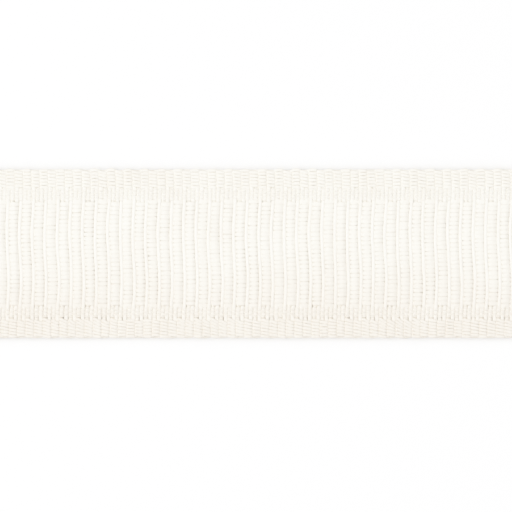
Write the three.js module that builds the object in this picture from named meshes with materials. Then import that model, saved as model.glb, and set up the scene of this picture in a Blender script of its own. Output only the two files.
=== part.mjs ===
// A cut length of flat woven braid trim, lying face up on a surface.
// The frame is in millimetres with +Z up. The trim runs along X, and its far edge is towards +Y.
// The origin is under the middle of the trim, on the surface that it lies on.
import * as THREE from "three";

// Driving dimensions
const ribCount = 50;
const ribPitch = 2.835;
const wovenLength = ribCount * ribPitch;
const yarnEnd = 0.65; // the warp yarns stand out this far past the first and last pick
const trimWidth = 38;
const selvedgeWidth = 4.16;
const farGroundWidth = 2.92; // fine plain weave between the far selvedge and the ribs
const nearGroundWidth = 2.02; // the same by the near selvedge
const stepWidth = 0.9; // slope from the near ground down to the near selvedge

// Heights of the upper face above the surface
const crownHeight = 1.62; // rib tops in the middle of the trim
const shoulderHeight = 1.5; // rib tops at the two ends of a rib
const groundHeight = 1.3;
const farSelvedgeHeight = 1.22;
const nearSelvedgeHeight = 1.06;
const edgeHeight = 0.55; // where the edges stand out furthest
const edgeRound = 0.32; // how far the upper and lower corners of an edge draw in

// One rib across its pitch, from groove to groove, with the fine cord that lies between two ribs
const grooveDepth = 0.34;
const cordDepth = 0.2;
const ribProfile = [
  { at: 0, drop: cordDepth },
  { at: 0.11, drop: grooveDepth },
  { at: 0.26, drop: 0 },
  { at: 0.74, drop: 0 },
  { at: 0.89, drop: grooveDepth },
];

// Slight unevenness of the cloth
const ribWander = 0.24; // the ribs lean together from side to side as they cross the trim
const ribWanderWave = 21.6;
const ribWanderFrom = 4.5; // distance across the trim at which they lean furthest towards -X
const edgeWander = 0.07; // slow waviness of the long edges
const edgeWanderWave = 47;
const turnBump = 0.05; // the weft turns swell the edges at every second pair of picks

// The flat underside is laid out in a few broad panels, as shares of half the length
const underPanels = [-1, -0.3, 0.4, 1];

const halfWidth = trimWidth / 2;
const halfLength = wovenLength / 2 + yarnEnd;
const pickPitch = ribPitch / 3;

const farRibEnd = halfWidth - selvedgeWidth - farGroundWidth;
const nearRibEnd = -halfWidth + selvedgeWidth + stepWidth + nearGroundWidth;
const ribRise = 0.4; // length over which a rib rises out of the ground weave
const middleY = (farRibEnd + nearRibEnd) / 2;
const ribHalf = (farRibEnd - nearRibEnd) / 2 - ribRise;

// The ribbed centre is slightly crowned across the trim
function ribTop(y) {
  const t = (y - middleY) / ribHalf;
  return crownHeight - (crownHeight - shoulderHeight) * t * t;
}

function ribRow(share) {
  const y = middleY + share * ribHalf;
  return { y, z: ribTop(y), along: ribbedStations };
}

// The rows run along the trim. They go from under the near edge, over the top, to under the far edge.
const rows = [
  { y: -halfWidth + edgeRound, z: 0, along: underStations },
  { y: -halfWidth, z: edgeHeight, edge: -1 },
  { y: -halfWidth + edgeRound, z: nearSelvedgeHeight - 0.06, edge: -1 },
  { y: -halfWidth + selvedgeWidth, z: nearSelvedgeHeight },
  { y: -halfWidth + selvedgeWidth + stepWidth, z: groundHeight },
  { y: nearRibEnd, z: groundHeight },
  ribRow(-1),
  ribRow(-0.5),
  ribRow(0),
  ribRow(0.5),
  ribRow(1),
  { y: farRibEnd, z: groundHeight },
  { y: halfWidth - selvedgeWidth, z: groundHeight },
  { y: halfWidth - edgeRound, z: farSelvedgeHeight, edge: 1 },
  { y: halfWidth, z: edgeHeight, edge: 1 },
  { y: halfWidth - edgeRound, z: 0, along: underStations },
];

// Places along the trim: a few on the underside, every second pick on the plain rows, and the
// rib profile on the ribbed ones
function underStations() {
  return underPanels.map((share) => ({ x: share * halfLength, drop: 0 }));
}

function plainStations() {
  const xs = [-halfLength];
  for (let pair = 0; pair <= (ribCount * 3) / 2; pair += 1) {
    xs.push(-wovenLength / 2 + pair * 2 * pickPitch);
  }
  xs.push(halfLength);
  return xs.map((x) => ({ x, drop: 0 }));
}

function ribbedStations() {
  const stations = [{ x: -halfLength, drop: grooveDepth }];
  for (let rib = 0; rib < ribCount; rib += 1) {
    for (const { at, drop } of ribProfile) {
      stations.push({ x: -wovenLength / 2 + (rib + at) * ribPitch, drop });
    }
  }
  stations.push({ x: wovenLength / 2, drop: cordDepth });
  stations.push({ x: halfLength, drop: grooveDepth });
  return stations;
}

// The lean of the ribs fades out at the two cut ends, which are straight
function leanOf(x, y) {
  const fade = 1 - (x / halfLength) ** 8;
  return -ribWander * fade * Math.cos((2 * Math.PI * (y - ribWanderFrom)) / ribWanderWave);
}

function edgeShift(x, edge) {
  const slow = edgeWander * Math.sin((2 * Math.PI * x) / edgeWanderWave + edge);
  const turns = turnBump * Math.cos((Math.PI * x) / (2 * pickPitch));
  return edge * turns + slow;
}

function pointOf(row, station) {
  const x = station.x + leanOf(station.x, row.y);
  const y = row.edge ? row.y + edgeShift(station.x, row.edge) : row.y;
  return [x, y, row.z - station.drop];
}

// Two neighbouring rows may have different stations, so the strip between them steps along
// whichever row lags behind.
function stitch(first, second, triangles) {
  let i = 0;
  let j = 0;
  while (i < first.xs.length - 1 || j < second.xs.length - 1) {
    const stepFirst =
      j === second.xs.length - 1 ||
      (i < first.xs.length - 1 && first.xs[i + 1] <= second.xs[j + 1]);
    if (stepFirst) {
      triangles.push(first.start + i, first.start + i + 1, second.start + j);
      i += 1;
    } else {
      triangles.push(first.start + i, second.start + j + 1, second.start + j);
      j += 1;
    }
  }
}

function bandGeometry() {
  const positions = [];
  const placed = rows.map((row) => {
    const stations = (row.along ?? plainStations)();
    const start = positions.length / 3;
    stations.forEach((station) => positions.push(...pointOf(row, station)));
    return { start, xs: stations.map((station) => station.x) };
  });

  const triangles = [];
  placed.forEach((row, index) => {
    stitch(row, placed[(index + 1) % placed.length], triangles);
  });

  // The two cut ends are flat, one triangulated section each
  const section = rows.map((row, index) => {
    const at = placed[index].start * 3;
    return new THREE.Vector2(positions[at + 1], positions[at + 2]);
  });
  for (const [a, b, c] of THREE.ShapeUtils.triangulateShape(section, [])) {
    const near = [a, b, c].map((k) => placed[k].start);
    const far = [a, b, c].map((k) => placed[k].start + placed[k].xs.length - 1);
    triangles.push(near[0], near[2], near[1]);
    triangles.push(far[0], far[1], far[2]);
  }

  const geometry = new THREE.BufferGeometry();
  geometry.setAttribute("position", new THREE.Float32BufferAttribute(positions, 3));
  geometry.setIndex(triangles);
  geometry.computeVertexNormals();
  return geometry;
}

const creamYarn = new THREE.MeshStandardMaterial({
  color: 0xf7f2e4,
  roughness: 0.8,
  metalness: 0,
});

const band = new THREE.Mesh(bandGeometry(), creamYarn);
band.name = "trim_band";

const trim = new THREE.Group();
trim.add(band);

export default trim;
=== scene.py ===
"""Looks for a cut length of flat ribbed braid trim, woven yarn by yarn around its CAD frame."""

import math

import bpy
import numpy as np
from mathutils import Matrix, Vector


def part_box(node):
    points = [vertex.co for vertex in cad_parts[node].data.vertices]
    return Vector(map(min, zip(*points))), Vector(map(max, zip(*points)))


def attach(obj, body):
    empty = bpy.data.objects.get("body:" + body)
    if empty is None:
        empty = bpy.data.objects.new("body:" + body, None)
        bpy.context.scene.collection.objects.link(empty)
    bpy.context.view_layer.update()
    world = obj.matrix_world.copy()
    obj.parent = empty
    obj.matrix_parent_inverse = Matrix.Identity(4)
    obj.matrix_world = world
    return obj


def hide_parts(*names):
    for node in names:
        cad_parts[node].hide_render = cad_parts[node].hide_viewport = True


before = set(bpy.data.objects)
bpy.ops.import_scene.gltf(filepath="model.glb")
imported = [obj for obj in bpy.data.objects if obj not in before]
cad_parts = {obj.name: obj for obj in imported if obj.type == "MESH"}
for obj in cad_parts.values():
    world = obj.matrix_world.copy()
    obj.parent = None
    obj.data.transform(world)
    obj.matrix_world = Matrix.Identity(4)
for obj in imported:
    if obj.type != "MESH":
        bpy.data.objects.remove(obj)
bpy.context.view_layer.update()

MM = 0.001
NODE = "trim_band"
rng = np.random.default_rng(12)

# The weave lies in the CAD band's frame, in millimetres: picks (weft yarns) cross the trim along Y,
# and ends (warp yarns) run along it in X. Every third pick is a fine cord that lies bare between
# two ribs, and the two picks after it are covered by the floats of one rib.
RIB_PITCH = 2.835
PICKS_TO_A_RIB = 3
YARN_END = 0.65
CAD_LOW, CAD_HIGH = (np.array(corner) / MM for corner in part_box(NODE))
RIBS = round((CAD_HIGH[0] - CAD_LOW[0] - 2 * YARN_END) / RIB_PITCH)
PICKS = PICKS_TO_A_RIB * RIBS + 1
PICK_PITCH = RIB_PITCH / PICKS_TO_A_RIB
PAIR_HALF = 0.455  # the two picks of a rib lie this far either side of its middle
EDGE = 19.0  # the long edges

# The zones across the trim, from the near edge to the far one, with the places of their first and
# last ends. An end is wide where it floats over picks and thin where it dives between them, and its
# fullness, half width times half height, stays the same. rise is how far its middle goes up and down
# from the middle of the cloth, and give how far the picks move the other way. slant is how far an
# end strays across the trim in each of its floats, at the first and the last end of the zone.
ZONES = (
    {"name": "selvedge_near", "weave": "paired", "ends": 11, "from": -18.54, "to": -14.97,
     "wide": 0.355, "thin": 0.24, "fullness": 0.046, "rise": 0.25, "give": 0.02, "slant": (0.05, 0.27)},
    {"name": "ground_near", "weave": "plain", "ends": 5, "from": -14.0, "to": -12.1,
     "wide": 0.235, "thin": 0.2, "fullness": 0.036, "rise": 0.26, "give": 0.13, "slant": (0.0, 0.0)},
    {"name": "ribs", "weave": "ribbed", "ends": 49, "from": -11.55, "to": 11.7,
     "wide": 0.56, "thin": 0.27, "fullness": 0.075, "rise": 0.46, "give": 0.0, "slant": (0.0, 0.0)},
    {"name": "ground_far", "weave": "plain", "ends": 7, "from": 12.2, "to": 14.6,
     "wide": 0.225, "thin": 0.19, "fullness": 0.036, "rise": 0.26, "give": 0.13, "slant": (0.0, 0.0)},
    {"name": "selvedge_far", "weave": "paired", "ends": 11, "from": 15.0, "to": 18.72,
     "wide": 0.36, "thin": 0.24, "fullness": 0.045, "rise": 0.25, "give": 0.02, "slant": (0.06, 0.12)},
)
RIBS_FROM, RIBS_TO = next((zone["from"], zone["to"]) for zone in ZONES if zone["name"] == "ribs")

# The picks lie in pairs within the ribs, and this fades over the first length below, which starts
# by the second one outside the outermost ends of the ribs.
RIBS_FADE = 2.0
RIBS_FADE_OUTSIDE = 1.5

# An end over one rib, at these distances from the middle of the rib: its height as a share of the
# rise, and its spread from thin, 0, to wide, 1. Between two ribs it passes under the fine cord.
RIB_FLOAT = (
    {"at": 0.18, "height": 1.0, "spread": 1.0},
    {"at": 0.56, "height": 0.84, "spread": 0.9},
    {"at": 0.88, "height": 0.48, "spread": 0.58},
    {"at": 1.14, "height": -0.15, "spread": 0.3},
)
UNDER_CORD = -0.78
RIB_TAPER = 0.3  # the outermost floats of a rib rise less by this share
RIB_TAPER_WIDE = 1.3

# Height of the middle of the cloth above the surface. The edges curl up a little, and the near
# selvedge lies a step lower than the ground weave beside it.
CLOTH_MIDDLE = 0.72
CURL = 0.8
CURL_POWER = 2.5
STEP_DOWN = 0.12
STEP_FROM, STEP_TO = -14.1, -14.9

# Half width and half height of a pick across the trim, and of a cord where it lies in the ribs
PICK_SECTION = (
    (-19.0, 0.33, 0.16), (-18.2, 0.46, 0.17), (-14.6, 0.46, 0.17), (-11.5, 0.455, 0.3),
    (11.7, 0.455, 0.3), (15.0, 0.46, 0.17), (18.2, 0.46, 0.17), (19.0, 0.33, 0.16),
)
CORD_SECTION = (0.42, 0.33)
CORD_LIFT = 0.1

# Unevenness of the cloth. Each wave is a wavelength along a yarn or along the trim.
WAVE_STEPS = (1.0, 0.61, 0.37)  # the waviness of a yarn has waves of these shares of its wavelength
WAVE_SUM = 1.3
EDGE_LIFT_FROM = 10.0
EDGE_LIFT = 0.08  # the edges lie up and down by this much, in slow waves along the trim
EDGE_LIFT_WAVES = {-1: (63.0, 0.4), 1: (48.0, 2.1)}
RIB_UNEVEN = 0.025
RIB_WANDER = 0.2
RIB_WANDER_WAVE = 21.6
RIB_WANDER_FROM = 4.5
PICK_STRAY = 0.04
PICK_STRAY_WAVES = (60.0, 27.0, 14.0)
CORD_UNEVEN, CORD_WAVE = 0.03, 15.0
END_UNEVEN, END_WAVE = 0.02, 23.0
FLOAT_UNEVEN = {"spread": 0.06, "height": 0.015, "aside": 0.02}
YARN_UNEVEN, END_SWELL_WAVE, PICK_SWELL_WAVE = 0.05, 9.0, 8.0
SLANT_UNEVEN, SLANT_WAVE = 0.7, 37.0
EDGE_UNEVEN = 0.03

# A pick bends for the last time this far inside the edge. Its turn starts at the second distance,
# and reaches out from there at the near edge, -1, and at the far one, 1.
LAST_BEND_INSIDE = 0.8
TURN_INSIDE = 0.95
TURN_REACH = {-1: 0.28, 1: 0.45}
TURN_MIDDLE_INSIDE = 0.5
TURN_ANGLES = (25, 60, 90, 120, 155)

# The cut ends of the yarns: how far they reach, as shares of YARN_END, how far they stray, and how
# thick they still are
CUT_REACH = (0.55, 1.0)
CUT_STRAY = 0.06
CUT_TAPER = 0.8

# An end that crosses single picks or pairs of them: its places from each pick to the next, how
# steeply it dives between two picks, and its spread at a pick of a pair and at the middle of a dive
END_STEPS = 4
DIVE_STEEPNESS = 1.2
SPREAD_AT_PICK = 0.9
SPREAD_IN_DIVE = 0.4

# A yarn's section: corners of one quarter, as shares of the half width and the half height
END_CORNERS = ((1.0, 0.5), (0.62, 0.98))
PICK_CORNERS = ((1.0, 0.41), (0.43, 1.0))

# Each yarn's colours where it is pale and where it is deep, the length of a turn of its plies in
# millimetres, and its roughness
END_YARN = {"pale": (0.929, 0.896, 0.816), "deep": (0.905, 0.862, 0.78), "lay": 1.6, "roughness": 0.6}
PICK_YARN = {"pale": (0.938, 0.91, 0.839), "deep": (0.921, 0.882, 0.806), "lay": 1.1, "roughness": 0.5}
# Painted shade: the near side of the trim lies in shade, and this is painted into the yarn's colour,
# moving it from pale towards deep by up to the share below
PAINTED_SHADE_FROM, PAINTED_SHADE_TO = 3.0, -18.0  # painted shade: the yarn's colour darkens between these distances towards the near edge
PAINTED_SHADE = 0.8
FIBRE_TONE = 0.4
FIBRES_ROUND = 22
FIBRE_RELIEF = 0.065
PLY_RELIEF = 0.35  # as a share of the fibres' relief

# Light, as strengths for the world, and the lamp in watts and metres
WORLD_DARK_BELOW = 0.15  # the sine of the elevation under which no light comes
WORLD_ZENITH = 0.9
WORLD_BESIDE = 2.5  # how much the light gains beside the long edges
KEY_WATTS = 13.0
KEY_SIZE = 1.5
KEY_PLACE = (-1.25, 0.1, 1.6)
HIGHLIGHT_ROLL_OFF = 1.5

# The picture: its width and the length of a rib in pixels, where on the trim its middle lies, and
# how high above the ribs the camera is, in metres
PICTURE_PIXELS = 512
RIB_PIXELS = 12.602
PICTURE_MIDDLE = (-0.866, -0.45)
EYE_HEIGHT = 1.6


def across_table(table, y):
    """The further columns of a table, at the distances y across the trim."""
    rows = np.array(table)
    return [np.interp(y, rows[:, 0], column) for column in rows.T[1:]]


def middle_height(y):
    """Height of the middle of the cloth at the distance y across the trim."""
    curl = CURL * np.abs(y / EDGE) ** CURL_POWER
    step = STEP_DOWN * np.clip((STEP_FROM - y) / (STEP_FROM - STEP_TO), 0, 1)
    return CLOTH_MIDDLE + curl - step


def edge_lift(x, y):
    """How far the slow waves of the long edges lift the cloth at x, y."""
    near_edge = np.clip((np.abs(y) - EDGE_LIFT_FROM) / (EDGE - EDGE_LIFT_FROM), 0, 1) ** 2
    lift = [np.sin(2 * np.pi * x / wave + start) for wave, start in EDGE_LIFT_WAVES.values()]
    return EDGE_LIFT * near_edge * np.where(y < 0, *lift)


def in_ribs(y):
    """1 within the ribbed centre, fading to 0 in the ground weave beside it."""
    middle, half = (RIBS_FROM + RIBS_TO) / 2, (RIBS_TO - RIBS_FROM) / 2
    return np.clip((half + RIBS_FADE_OUTSIDE - np.abs(y - middle)) / RIBS_FADE, 0, 1)


def lean(y):
    """The picks lean together along the trim by this much at y."""
    return -RIB_WANDER * np.cos(2 * np.pi * (y - RIB_WANDER_FROM) / RIB_WANDER_WAVE)


def waves(places, scale, size):
    """A smooth random waviness of the given size and wavelength scale at the places."""
    total = np.zeros_like(places, dtype=float)
    for step in WAVE_STEPS:
        phase = rng.uniform(0, 2 * np.pi)
        total += np.sin(2 * np.pi * places / (scale * step) + phase) * step
    return size * total / WAVE_SUM


def alike_neighbours(values):
    """The values with each drawn towards its neighbours along the last axis."""
    padded = np.concatenate([values[..., :1], values, values[..., -1:]], axis=-1)
    return padded[..., :-2] / 4 + padded[..., 1:-1] / 2 + padded[..., 2:] / 4


# For each pick its number, its rib and its place in the rib, whether it is a fine cord, and how it
# strays. For each rib, how far it lies up or down.
PICK_NO = np.arange(PICKS)
RIB_NO, PLACE_IN_RIB = np.divmod(PICK_NO, PICKS_TO_A_RIB)
IS_CORD = PLACE_IN_RIB == 0
STRAY = alike_neighbours(rng.normal(0, PICK_STRAY, (len(PICK_STRAY_WAVES), 2, PICKS)))
RIB_LIFT = rng.normal(0, RIB_UNEVEN, RIBS)


def even_places(ribbed):
    """Where each pick lies in an even cloth: in pairs in the ribs, 1, and evenly beside them, 0."""
    start = -RIBS * RIB_PITCH / 2
    even = start + PICK_NO * PICK_PITCH
    beside = np.choose(PLACE_IN_RIB, (-RIB_PITCH / 2, -PAIR_HALF, PAIR_HALF))
    grouped = start + (RIB_NO + 0.5) * RIB_PITCH + beside
    return even + (grouped - even) * ribbed


def stray(y):
    """How far the picks lie from their even places, as an array with a row for each y."""
    total = lean(y)
    for wave, (in_step, out_of_step) in zip(PICK_STRAY_WAVES, STRAY):
        turn = 2 * np.pi * y / wave
        total = total + np.cos(turn) * in_step + np.sin(turn) * out_of_step
    return total


def pick_places(y):
    """Where along the trim each pick crosses the distance y, as an array with a row for each y."""
    y = np.atleast_1d(y)[:, None]
    return even_places(in_ribs(y)) + stray(y)


def crossings(zone):
    """1 where an end of the zone passes over a pick and -1 where it passes under, one row an end."""
    end = np.arange(zone["ends"])[:, None]
    if zone["weave"] == "plain":
        over = (end + PICK_NO) % 2 == 0
    elif zone["weave"] == "paired":
        shift = 1 if zone["from"] > 0 else 0
        over = ((PICK_NO + shift) // 2 + end) % 2 == 0
    else:
        over = (PLACE_IN_RIB > 0) & ((RIB_NO + end) % 2 == 0)
    return np.where(over, 1, -1)


def end_distances(zone):
    return np.linspace(zone["from"], zone["to"], zone["ends"])


def zone_edge_distance(zone):
    """How far each end of a zone lies from the zone's nearer side."""
    at = end_distances(zone)
    return np.minimum(at - zone["from"], zone["to"] - at)


def section_ring(corners):
    """A yarn's unit section, going round, from the corners of its first quarter."""
    quarter = np.array(corners)
    half = np.concatenate([quarter, quarter[::-1] * (-1, 1)])
    ring = np.concatenate([half, -half])
    return ring[:, 0], ring[:, 1]


def yarn_rings(middle, half_width, half_height, corners):
    """Rings of points around yarns. middle has the shape (yarns, stations, 3)."""
    along = np.gradient(middle, axis=1)
    along /= np.linalg.norm(along, axis=2, keepdims=True)
    across = np.cross([0.0, 0.0, 1.0], along)
    across /= np.linalg.norm(across, axis=2, keepdims=True)
    up = np.cross(along, across)
    ring_across, ring_up = section_ring(corners)
    return (
        middle[:, :, None, :]
        + (half_width[:, :, None] * ring_across)[..., None] * across[:, :, None, :]
        + (half_height[:, :, None] * ring_up)[..., None] * up[:, :, None, :]
    )


def yarn_mesh(name, rings, along_mm):
    """One closed mesh of many yarns. Its UV map holds the length along a yarn, and the turn round it."""
    yarns, stations, sides, _ = rings.shape
    number = np.arange(yarns * stations * sides).reshape(yarns, stations, sides)
    nxt = np.roll(number, -1, axis=2)
    quads = np.stack(
        [number[:, :-1], nxt[:, :-1], nxt[:, 1:], number[:, 1:]], axis=-1
    ).reshape(-1, 4)
    caps = np.concatenate([number[:, 0, ::-1], number[:, -1]])

    mesh = bpy.data.meshes.new(name)
    mesh.vertices.add(number.size)
    mesh.vertices.foreach_set("co", (rings * MM).astype(np.float32).ravel())
    corners = np.concatenate([quads.ravel(), caps.ravel()])
    sizes = np.concatenate([np.full(len(quads), 4), np.full(len(caps), sides)])
    mesh.loops.add(len(corners))
    mesh.loops.foreach_set("vertex_index", corners.astype(np.int32))
    mesh.polygons.add(len(sizes))
    starts = np.concatenate([[0], np.cumsum(sizes)[:-1]])
    mesh.polygons.foreach_set("loop_start", starts.astype(np.int32))
    mesh.update(calc_edges=True)
    smooth = np.concatenate([np.ones(len(quads), bool), np.zeros(len(caps), bool)])
    mesh.polygons.foreach_set("use_smooth", smooth)

    turn = np.arange(sides) / sides
    u = np.broadcast_to(along_mm[:, :, None], number.shape)
    v = np.broadcast_to(turn, number.shape)
    step = 1 / sides
    quad_u = np.stack([u[:, :-1], u[:, :-1], u[:, 1:], u[:, 1:]], axis=-1)
    quad_v = np.stack([v[:, :-1], v[:, :-1] + step, v[:, 1:] + step, v[:, 1:]], axis=-1)
    cap_u = np.concatenate([u[:, 0, ::-1], u[:, -1]])
    cap_v = np.concatenate([v[:, 0, ::-1], v[:, -1]])
    uv = np.stack(
        [
            np.concatenate([quad_u.ravel(), cap_u.ravel()]),
            np.concatenate([quad_v.ravel(), cap_v.ravel()]),
        ],
        axis=-1,
    )
    mesh.uv_layers.new(name="yarn").data.foreach_set("uv", uv.astype(np.float32).ravel())
    mesh.validate()

    piece = bpy.data.objects.new(name, mesh)
    bpy.context.scene.collection.objects.link(piece)
    return piece


def ribbed_ends(zone, chosen):
    """Places along the trim of the chosen ends of the ribs, with lift, spread and stray at each."""
    table = RIB_FLOAT[::-1], RIB_FLOAT
    at = [-RIB_PITCH / 2, *(-row["at"] for row in table[0]), *(row["at"] for row in table[1])]
    height = [UNDER_CORD, *(row["height"] for row in table[0]), *(row["height"] for row in table[1])]
    spread = [0.0, *(row["spread"] for row in table[0]), *(row["spread"] for row in table[1])]
    places, ends = len(at), len(chosen)

    first_middle = (1 - RIBS) * RIB_PITCH / 2
    middles = first_middle + np.arange(RIBS) * RIB_PITCH
    x = (middles[:, None] + at).ravel()
    over = ((np.arange(RIBS) + chosen[:, None]) % 2 == 0)[:, :, None]
    uneven = {key: rng.normal(0, size, (ends, RIBS, 1)) for key, size in FLOAT_UNEVEN.items()}
    bare = np.array(spread)
    rib_lift = uneven["height"] + RIB_LIFT[:, None]
    inwards = zone_edge_distance(zone)[chosen][:, None, None]
    rise = zone["rise"] * np.interp(inwards, (0, RIB_TAPER_WIDE), (1 - RIB_TAPER, 1))
    lifts = np.where(over, height * rise, -zone["rise"]) + np.where(over, rib_lift, 0) * bare
    lifts[:, :, 0] = UNDER_CORD * zone["rise"]
    spreads = np.broadcast_to(bare, lifts.shape) * (1 + uneven["spread"])
    aside = uneven["aside"] * bare

    last = np.full((ends, 1), RIBS * RIB_PITCH / 2)
    x = np.concatenate([np.broadcast_to(x, (ends, RIBS * places)), last], axis=1)
    along = (
        np.concatenate([rows.reshape(ends, -1), rows[:, 0, :1]], axis=1)
        for rows in (lifts, spreads, aside)
    )
    return x, *along


def crossing_ends(zone, chosen):
    """The same for ends that cross the picks in a plain or a paired weave."""
    sign = crossings(zone)[chosen]
    pick, part = np.divmod(np.arange((PICKS - 1) * END_STEPS + 1), END_STEPS)
    part = part / END_STEPS
    after = np.minimum(pick + 1, PICKS - 1)
    here, there = sign[:, pick], sign[:, after]
    floats = here == there
    start = -RIBS * RIB_PITCH / 2
    x = np.broadcast_to(start + (pick + part) * PICK_PITCH, here.shape)

    dive = np.clip(DIVE_STEEPNESS * np.cos(np.pi * part), -1, 1)
    lift = np.where(floats, here, here * dive) * zone["rise"]
    near_pick = abs(np.cos(np.pi * part))
    floating = SPREAD_AT_PICK + (1 - SPREAD_AT_PICK) * np.sin(np.pi * part)
    diving = SPREAD_IN_DIVE + (SPREAD_AT_PICK - SPREAD_IN_DIVE) * near_pick
    spread = np.where(floats, floating, diving)
    if zone["weave"] == "plain":
        spread = near_pick * np.ones_like(lift)

    first_over = np.argmax((sign > 0) & (np.roll(sign, 1, axis=1) < 0), axis=1)[:, None]
    sides = (zone["from"], zone["to"])
    slant = np.interp(end_distances(zone)[chosen], sides, zone["slant"])[:, None]
    uneven = 1 + waves(x[0], SLANT_WAVE, SLANT_UNEVEN)
    aside = slant * uneven * np.cos(np.pi * (pick + part + 0.5 - first_over) / 2)
    return x, lift, spread, aside


def warp_ends(zone, chosen, name):
    """The chosen ends of a zone as one piece."""
    distances = end_distances(zone)[chosen]
    lay = ribbed_ends if zone["weave"] == "ribbed" else crossing_ends
    even_x, lift, spread, aside = lay(zone, chosen)
    even_picks = even_places(1 if zone["weave"] == "ribbed" else 0)
    picks = pick_places(distances)
    x = np.empty_like(lift)
    y = np.empty_like(lift)
    half_width = zone["thin"] + (zone["wide"] - zone["thin"]) * spread
    for row, distance in enumerate(distances):
        x[row] = np.interp(even_x[row], even_picks, picks[row])
        y[row] = distance + aside[row] + waves(x[row], END_WAVE, END_UNEVEN)
        half_width[row] *= 1 + waves(x[row], END_SWELL_WAVE, YARN_UNEVEN)
    half_height = zone["fullness"] / half_width
    middle = np.stack([x, y, middle_height(y) + edge_lift(x, y) + lift], axis=-1)
    middle, half_width, half_height = with_cut_ends(middle, half_width, half_height)
    rings = yarn_rings(middle, half_width, half_height, END_CORNERS)
    return yarn_mesh(name, rings, middle[:, :, 0])


def with_cut_ends(middle, half_width, half_height):
    """The yarns reach a little past the first and the last pick, to uneven cut ends."""
    yarns = len(middle)
    shares = (0.5, 1.0)
    for side in (0, -1):
        reach = rng.uniform(*CUT_REACH, yarns) * YARN_END
        stray_end = rng.normal(0, CUT_STRAY, (yarns, 2))
        edge = middle[:, side]
        direction = -1 if side == 0 else 1
        added = []
        for share in shares:
            point = edge.copy()
            point[:, 0] += direction * reach * share
            point[:, 1] += stray_end[:, 0] * share
            point[:, 2] += stray_end[:, 1] * share
            added.append(point[:, None])
        wide = half_width[:, side][:, None]
        high = half_height[:, side][:, None]
        if side == 0:
            middle = np.concatenate([added[1], added[0], middle], axis=1)
            half_width = np.concatenate([wide * CUT_TAPER, wide, half_width], axis=1)
            half_height = np.concatenate([high * CUT_TAPER, high, half_height], axis=1)
        else:
            middle = np.concatenate([middle, added[0], added[1]], axis=1)
            half_width = np.concatenate([half_width, wide, wide * CUT_TAPER], axis=1)
            half_height = np.concatenate([half_height, high, high * CUT_TAPER], axis=1)
    return middle, half_width, half_height


def pick_stations():
    """Distances across the trim at which a pick bends, and how far it gives way there."""
    distances, gives = [], []
    for zone in ZONES:
        at = end_distances(zone)
        give = -zone["give"] * crossings(zone)
        if zone["weave"] == "ribbed":
            at, give = at[::2], give[::2]
        distances.append(at)
        gives.append(give)
    return np.concatenate(distances), np.concatenate(gives)


def weft():
    """All picks: one yarn that goes to and fro across the trim and turns at each edge."""
    distances, gives = pick_stations()
    places = pick_places(distances)
    inside = np.abs(distances) < EDGE - LAST_BEND_INSIDE
    distances, gives, places = distances[inside], gives[inside], places[inside]
    ribbed = in_ribs(distances)
    wide, high = across_table(PICK_SECTION, distances)
    points, widths, heights = [], [], []
    for pick in range(PICKS):
        z = middle_height(distances) + edge_lift(places[:, pick], distances) + gives[:, pick]
        half_width, half_height = wide, high
        if IS_CORD[pick]:
            z = z + ribbed * (CORD_LIFT + waves(distances, CORD_WAVE, CORD_UNEVEN))
            half_width = wide + (CORD_SECTION[0] - wide) * ribbed
            half_height = high + (CORD_SECTION[1] - high) * ribbed
        swell = 1 + waves(distances, PICK_SWELL_WAVE, YARN_UNEVEN)
        line = np.stack([places[:, pick], distances, z], axis=-1)
        going = 1 if pick % 2 == 0 else -1
        points.append(line[::going])
        widths.append((half_width * swell)[::going])
        heights.append((half_height * swell)[::going])
        if pick < PICKS - 1:
            bend = turn(pick, going)
            points.append(bend)
            for values, found in zip((widths, heights), across_table(PICK_SECTION, bend[:, 1])):
                values.append(found)
    middle = np.concatenate(points)[None]
    lengths = np.linalg.norm(np.diff(middle, axis=1), axis=2)
    along = np.concatenate([[[0.0]], np.cumsum(lengths, axis=1)], axis=1)
    half_width = np.concatenate(widths)[None]
    half_height = np.concatenate(heights)[None]
    rings = yarn_rings(middle, half_width, half_height, PICK_CORNERS)
    return yarn_mesh("picks", rings, along)


def turn(pick, side):
    """The loop by which a pick turns back at the far edge, side 1, or the near one, side -1."""
    first_x, next_x = pick_places(side * (EDGE - TURN_MIDDLE_INSIDE))[0][[pick, pick + 1]]
    start = EDGE - TURN_INSIDE
    reach = TURN_REACH[side] + rng.normal(0, EDGE_UNEVEN)
    bend = np.radians(TURN_ANGLES)
    x = (first_x + next_x) / 2 - (next_x - first_x) / 2 * np.cos(bend)
    y = side * (start + reach * np.sin(bend))
    z = middle_height(y) + edge_lift(x, y)
    return np.stack([x, y, z], axis=-1)


def node(tree, kind, place, **values):
    made = tree.nodes.new(kind)
    made.location = place
    for key, value in values.items():
        setattr(made, key, value)
    return made


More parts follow.
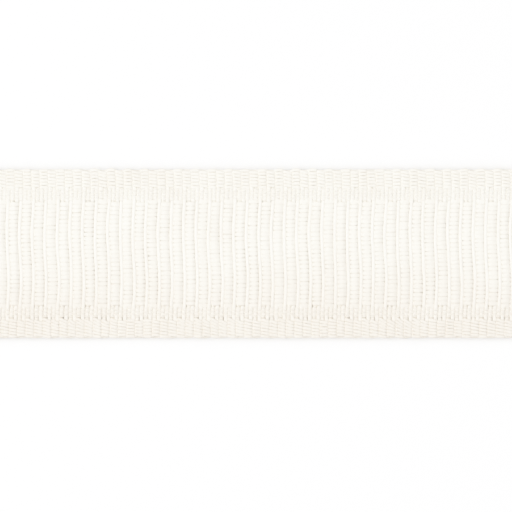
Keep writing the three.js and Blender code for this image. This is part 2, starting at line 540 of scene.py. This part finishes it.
def yarn_material(name, pale, deep, lay, roughness):
    """Cream spun yarn: two plies with a slow twist, fine fibres along them and a slight sheen, with
    painted shade that darkens it towards the near edge.
    """
    material = bpy.data.materials.new(name)
    material.use_nodes = True
    tree = material.node_tree
    link = tree.links.new
    shader = tree.nodes["Principled BSDF"]
    shader.inputs["Sheen Weight"].default_value = 0.15
    shader.inputs["Sheen Roughness"].default_value = 0.5
    shader.inputs["Specular IOR Level"].default_value = 0.3

    place = node(tree, "ShaderNodeTexCoord", (-1400, 200))
    patches = node(tree, "ShaderNodeTexNoise", (-1100, 300))
    patches.inputs["Scale"].default_value = 90
    patches.inputs["Detail"].default_value = 3
    link(place.outputs["Object"], patches.inputs["Vector"])

    yarn_map = node(tree, "ShaderNodeUVMap", (-1600, -200), uv_map="yarn")
    split = node(tree, "ShaderNodeSeparateXYZ", (-1400, -200))
    link(yarn_map.outputs["UV"], split.inputs["Vector"])
    turns = node(tree, "ShaderNodeMath", (-1200, -200), operation="MULTIPLY")
    turns.inputs[1].default_value = 1 / lay
    link(split.outputs["X"], turns.inputs[0])
    plies = node(tree, "ShaderNodeMath", (-1200, -380), operation="MULTIPLY")
    plies.inputs[1].default_value = 2
    link(split.outputs["Y"], plies.inputs[0])
    phase = node(tree, "ShaderNodeMath", (-1000, -260), operation="ADD")
    link(turns.outputs[0], phase.inputs[0])
    link(plies.outputs[0], phase.inputs[1])
    angle = node(tree, "ShaderNodeMath", (-820, -260), operation="MULTIPLY")
    angle.inputs[1].default_value = 2 * math.pi
    link(phase.outputs[0], angle.inputs[0])
    ply = node(tree, "ShaderNodeMath", (-640, -260), operation="COSINE")
    link(angle.outputs[0], ply.inputs[0])

    across = node(tree, "ShaderNodeCombineXYZ", (-820, -480))
    stretch = node(tree, "ShaderNodeMath", (-1000, -560), operation="MULTIPLY")
    stretch.inputs[1].default_value = FIBRES_ROUND
    link(phase.outputs[0], stretch.inputs[0])
    link(stretch.outputs[0], across.inputs["X"])
    link(split.outputs["X"], across.inputs["Y"])
    fibres = node(tree, "ShaderNodeTexNoise", (-640, -480))
    fibres.inputs["Scale"].default_value = 1.6
    fibres.inputs["Detail"].default_value = 6
    fibres.inputs["Roughness"].default_value = 0.65
    link(across.outputs["Vector"], fibres.inputs["Vector"])

    height = node(tree, "ShaderNodeMath", (-420, -360), operation="MULTIPLY_ADD")
    height.inputs[1].default_value = PLY_RELIEF
    link(ply.outputs[0], height.inputs[0])
    link(fibres.outputs["Fac"], height.inputs[2])
    bump = node(tree, "ShaderNodeBump", (-220, -300))
    bump.inputs["Strength"].default_value = 0.7
    bump.inputs["Distance"].default_value = FIBRE_RELIEF * MM
    link(height.outputs[0], bump.inputs["Height"])
    link(bump.outputs["Normal"], shader.inputs["Normal"])

    # Painted shade: across the trim the colour moves towards deep nearer the near edge, standing in for
    # the shade on that side
    painted_shade_place = node(tree, "ShaderNodeSeparateXYZ", (-1100, 80))
    link(place.outputs["Object"], painted_shade_place.inputs["Vector"])
    painted_shade_ramp = node(tree, "ShaderNodeMapRange", (-900, 100), interpolation_type="SMOOTHSTEP")
    painted_shade_ramp.inputs["From Min"].default_value = PAINTED_SHADE_FROM * MM
    painted_shade_ramp.inputs["From Max"].default_value = PAINTED_SHADE_TO * MM
    painted_shade_ramp.inputs["To Max"].default_value = PAINTED_SHADE
    link(painted_shade_place.outputs["Y"], painted_shade_ramp.inputs["Value"])
    # random patches of tone, plus the painted shade
    patches_and_painted_shade = node(tree, "ShaderNodeMath", (-760, 200), operation="ADD")
    link(patches.outputs["Fac"], patches_and_painted_shade.inputs[0])
    link(painted_shade_ramp.outputs["Result"], patches_and_painted_shade.inputs[1])
    streaks = node(tree, "ShaderNodeMapRange", (-460, -60), clamp=False)
    streaks.inputs["From Min"].default_value = 0.35
    streaks.inputs["From Max"].default_value = 0.65
    streaks.inputs["To Min"].default_value = FIBRE_TONE
    streaks.inputs["To Max"].default_value = -FIBRE_TONE
    link(fibres.outputs["Fac"], streaks.inputs["Value"])
    streaked = node(tree, "ShaderNodeMath", (-560, 120), operation="ADD")
    link(patches_and_painted_shade.outputs[0], streaked.inputs[0])
    link(streaks.outputs["Result"], streaked.inputs[1])
    tint = node(tree, "ShaderNodeMapRange", (-640, 300), clamp=False)
    tint.inputs["From Min"].default_value = 0.3
    tint.inputs["From Max"].default_value = 0.7
    link(streaked.outputs[0], tint.inputs["Value"])
    colour = node(tree, "ShaderNodeMix", (-420, 250), data_type="RGBA", clamp_factor=False)
    colour.inputs["A"].default_value = (*pale, 1)
    colour.inputs["B"].default_value = (*deep, 1)
    link(tint.outputs["Result"], colour.inputs["Factor"])
    link(colour.outputs["Result"], shader.inputs["Base Color"])

    gloss = node(tree, "ShaderNodeMapRange", (-420, 0))
    gloss.inputs["To Min"].default_value = roughness - 0.08
    gloss.inputs["To Max"].default_value = roughness + 0.1
    link(fibres.outputs["Fac"], gloss.inputs["Value"])
    link(gloss.outputs["Result"], shader.inputs["Roughness"])
    return material


def ribs_in_two(zone):
    """The ribbed centre's ends, as two pieces of like size."""
    half = zone["ends"] // 2
    return (
        ("ends_ribs_near", np.arange(half + 1)),
        ("ends_ribs_far", np.arange(half + 1, zone["ends"])),
    )


def weave():
    """Every yarn piece, dressed and riding on the root body."""
    end_yarn = yarn_material("end_yarn", **END_YARN)
    pick_yarn = yarn_material("pick_yarn", **PICK_YARN)
    picks = weft()
    picks.data.materials.append(pick_yarn)
    ends = []
    for zone in ZONES:
        parts = ribs_in_two(zone) if zone["name"] == "ribs" else (
            ("ends_" + zone["name"], np.arange(zone["ends"])),
        )
        for name, chosen in parts:
            piece = warp_ends(zone, chosen, name)
            piece.data.materials.append(end_yarn)
            ends.append(piece)
    for piece in (picks, *ends):
        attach(piece, "root")
        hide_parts(NODE)


def floor():
    """A plain white table under the trim."""
    mesh = bpy.data.meshes.new("floor")
    size = 2.5
    corners = [(-size, -size, 0), (size, -size, 0), (size, size, 0), (-size, size, 0)]
    mesh.from_pydata(corners, [], [(0, 1, 2, 3)])
    plane = bpy.data.objects.new("floor", mesh)
    bpy.context.scene.collection.objects.link(plane)
    material = bpy.data.materials.new("white_table")
    material.use_nodes = True
    shader = material.node_tree.nodes["Principled BSDF"]
    shader.inputs["Base Color"].default_value = (0.98, 0.98, 0.98, 1)
    shader.inputs["Roughness"].default_value = 0.9
    shader.inputs["Specular IOR Level"].default_value = 0.1
    mesh.materials.append(material)


def lights():
    """A white studio: light mostly from above and from beside the trim, and a soft lamp on the left."""
    world = bpy.data.worlds.new("studio")
    bpy.context.scene.world = world
    world.use_nodes = True
    tree = world.node_tree
    background = tree.nodes["Background"]
    background.inputs["Color"].default_value = (1, 1, 1, 1)
    direction = node(tree, "ShaderNodeTexCoord", (-700, 0))
    split = node(tree, "ShaderNodeSeparateXYZ", (-500, 0))
    tree.links.new(direction.outputs["Generated"], split.inputs["Vector"])
    strength = node(tree, "ShaderNodeMapRange", (-300, 0))
    strength.inputs["From Min"].default_value = WORLD_DARK_BELOW
    strength.inputs["To Max"].default_value = WORLD_ZENITH
    tree.links.new(split.outputs["Z"], strength.inputs["Value"])
    beside = node(tree, "ShaderNodeMath", (-300, -250), operation="MULTIPLY")
    tree.links.new(split.outputs["Y"], beside.inputs[0])
    tree.links.new(split.outputs["Y"], beside.inputs[1])
    gain = node(tree, "ShaderNodeMath", (-120, -250), operation="MULTIPLY_ADD")
    gain.inputs[1].default_value = WORLD_BESIDE
    gain.inputs[2].default_value = 1
    tree.links.new(beside.outputs[0], gain.inputs[0])
    total = node(tree, "ShaderNodeMath", (60, -100), operation="MULTIPLY")
    tree.links.new(strength.outputs["Result"], total.inputs[0])
    tree.links.new(gain.outputs[0], total.inputs[1])
    tree.links.new(total.outputs[0], background.inputs["Strength"])

    lamp = bpy.data.lights.new("key", "AREA")
    lamp.energy = KEY_WATTS
    lamp.size = KEY_SIZE
    holder = bpy.data.objects.new("key", lamp)
    holder.location = KEY_PLACE
    aim = -holder.location.normalized()
    holder.rotation_euler = aim.to_track_quat("-Z", "Y").to_euler()
    bpy.context.scene.collection.objects.link(holder)


def camera():
    """Straight above the trim. The picture is square and shows 115 mm of its length."""
    frame_width = PICTURE_PIXELS * RIB_PITCH / RIB_PIXELS
    lens = bpy.data.cameras.new("camera")
    lens.sensor_width = 36
    lens.lens = lens.sensor_width * EYE_HEIGHT / (frame_width * MM)
    lens.clip_start = 0.05
    lens.clip_end = 20
    eye = bpy.data.objects.new("camera", lens)
    middle_x, middle_y = PICTURE_MIDDLE
    eye.location = (middle_x * MM, middle_y * MM, EYE_HEIGHT + CAD_HIGH[2] * MM)
    bpy.context.scene.collection.objects.link(eye)
    bpy.context.scene.camera = eye


def roll_off_highlights(view):
    """The picture's light curve flattens towards white, as a camera's does."""
    view.view_transform = "Standard"
    view.use_curve_mapping = True
    combined = 3
    curve = view.curve_mapping.curves[combined]
    for light in (0.15, 0.3, 0.45, 0.6, 0.7, 0.8, 0.9):
        curve.points.new(light, 1 - (1 - light) ** HIGHLIGHT_ROLL_OFF)
    view.curve_mapping.update()


def pass_light_on(cycles):
    """Pale yarn and a white table pass light on many times."""
    cycles.diffuse_bounces = 12
    cycles.max_bounces = 16


camera()
lights()
floor()
weave()
roll_off_highlights(bpy.context.scene.view_settings)
pass_light_on(bpy.context.scene.cycles)
